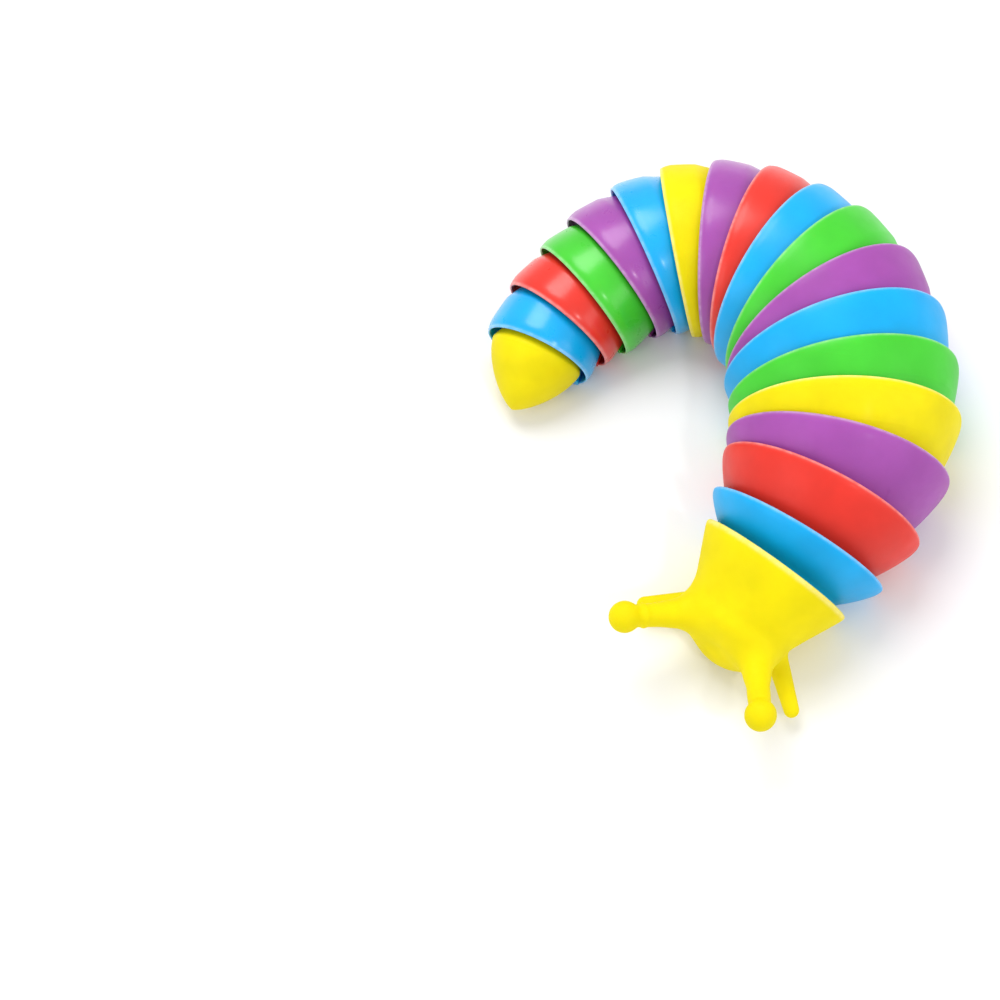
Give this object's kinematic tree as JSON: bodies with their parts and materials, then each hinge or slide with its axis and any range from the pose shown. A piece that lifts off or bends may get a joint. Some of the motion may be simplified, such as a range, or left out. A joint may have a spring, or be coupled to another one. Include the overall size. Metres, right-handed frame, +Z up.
{
  "type": "articulated fidget slug",
  "caption": "Jointed toy slug: head with two ball-tipped eye stalks, a chain of flared overlapping shell rings and a blunt tail, linked by upright hinges so that it wags and curls sideways.",
  "frame": {"origin": "on the belly plane, at the hinge between the two middle pieces (ring_08 and ring_09); the mount belly_rest is there", "axes": "+Z up, away from the surface that the belly lies on; the slug lies curled in the XY plane with its open side towards -X, the head near -Y and the top of the curl towards +X and +Y"},
  "size_m": [0.1025, 0.1286, 0.0396],
  "materials": {
    "yellow": "matte",
    "blue": "satin",
    "red": "satin",
    "purple": "satin",
    "green": "satin"
  },
  "bodies": {
    "head": {"head": "yellow"},
    "ring_01": {"ring_01": "blue"},
    "ring_02": {"ring_02": "red"},
    "ring_03": {"ring_03": "purple"},
    "ring_04": {"ring_04": "yellow"},
    "ring_05": {"ring_05": "green"},
    "ring_06": {"ring_06": "blue"},
    "ring_07": {"ring_07": "purple"},
    "ring_08": {"ring_08": "green"},
    "ring_09": {"ring_09": "blue"},
    "ring_10": {"ring_10": "red"},
    "ring_11": {"ring_11": "purple"},
    "ring_12": {"ring_12": "yellow"},
    "ring_13": {"ring_13": "blue"},
    "ring_14": {"ring_14": "purple"},
    "ring_15": {"ring_15": "green"},
    "ring_16": {"ring_16": "red"},
    "ring_17": {"ring_17": "blue"},
    "tail": {"tail": "yellow"}
  },
  "joints": [
    {"name": "hinge_ring_08_ring_09", "type": "hinge", "parent": "ring_09", "child": "ring_08", "pos_m": [0, 0, 0], "axis": [0, 0, -1], "range_deg": [-23, 7]},
    {"name": "hinge_ring_07_ring_08", "type": "hinge", "parent": "ring_08", "child": "ring_07", "pos_m": [0.00628, -0.00527, 0], "axis": [0, 0, -1], "range_deg": [-30, 0]},
    {"name": "hinge_ring_06_ring_07", "type": "hinge", "parent": "ring_07", "child": "ring_06", "pos_m": [0.01053, -0.01133, 0], "axis": [0, 0, -1], "range_deg": [-29, 1]},
    {"name": "hinge_ring_05_ring_06", "type": "hinge", "parent": "ring_06", "child": "ring_05", "pos_m": [0.01361, -0.01936, 0], "axis": [0, 0, -1], "range_deg": [-23, 7]},
    {"name": "hinge_ring_04_ring_05", "type": "hinge", "parent": "ring_05", "child": "ring_04", "pos_m": [0.01541, -0.02716, 0], "axis": [0, 0, -1], "range_deg": [-25, 5]},
    {"name": "hinge_ring_03_ring_04", "type": "hinge", "parent": "ring_04", "child": "ring_03", "pos_m": [0.01585, -0.03565, 0], "axis": [0, 0, -1], "range_deg": [-26, 0]},
    {"name": "hinge_ring_02_ring_03", "type": "hinge", "parent": "ring_03", "child": "ring_02", "pos_m": [0.01422, -0.0449, 0], "axis": [0, 0, -1], "range_deg": [-26, 0]},
    {"name": "hinge_ring_01_ring_02", "type": "hinge", "parent": "ring_02", "child": "ring_01", "pos_m": [0.01016, -0.05448, 0], "axis": [0, 0, -1], "range_deg": [-10.5, 0.5]},
    {"name": "hinge_head_ring_01", "type": "hinge", "parent": "ring_01", "child": "head", "pos_m": [0.00602, -0.06225, 0], "axis": [0, 0, -1], "range_deg": [-10.5, 0.5]},
    {"name": "hinge_ring_09_ring_10", "type": "hinge", "parent": "ring_09", "child": "ring_10", "pos_m": [-0.00611, 0.00381, 0], "axis": [0, 0, 1], "range_deg": [-30, 0]},
    {"name": "hinge_ring_10_ring_11", "type": "hinge", "parent": "ring_10", "child": "ring_11", "pos_m": [-0.01299, 0.00592, 0], "axis": [0, 0, 1], "range_deg": [-30, 0]},
    {"name": "hinge_ring_11_ring_12", "type": "hinge", "parent": "ring_11", "child": "ring_12", "pos_m": [-0.02049, 0.00618, 0], "axis": [0, 0, 1], "range_deg": [-30, 0]},
    {"name": "hinge_ring_12_ring_13", "type": "hinge", "parent": "ring_12", "child": "ring_13", "pos_m": [-0.0277, 0.00452, 0], "axis": [0, 0, 1], "range_deg": [-30, 0]},
    {"name": "hinge_ring_13_ring_14", "type": "hinge", "parent": "ring_13", "child": "ring_14", "pos_m": [-0.03405, 0.00114, 0], "axis": [0, 0, 1], "range_deg": [-29, 1]},
    {"name": "hinge_ring_14_ring_15", "type": "hinge", "parent": "ring_14", "child": "ring_15", "pos_m": [-0.0397, -0.00395, 0], "axis": [0, 0, 1], "range_deg": [-17, 13]},
    {"name": "hinge_ring_15_ring_16", "type": "hinge", "parent": "ring_15", "child": "ring_16", "pos_m": [-0.04517, -0.00923, 0], "axis": [0, 0, 1], "range_deg": [-27, 3]},
    {"name": "hinge_ring_16_ring_17", "type": "hinge", "parent": "ring_16", "child": "ring_17", "pos_m": [-0.04931, -0.01536, 0], "axis": [0, 0, 1], "range_deg": [-28, 2]},
    {"name": "hinge_ring_17_tail", "type": "hinge", "parent": "ring_17", "child": "tail", "pos_m": [-0.0521, -0.02264, 0], "axis": [0, 0, 1], "range_deg": [-16, 14]}
  ]
}
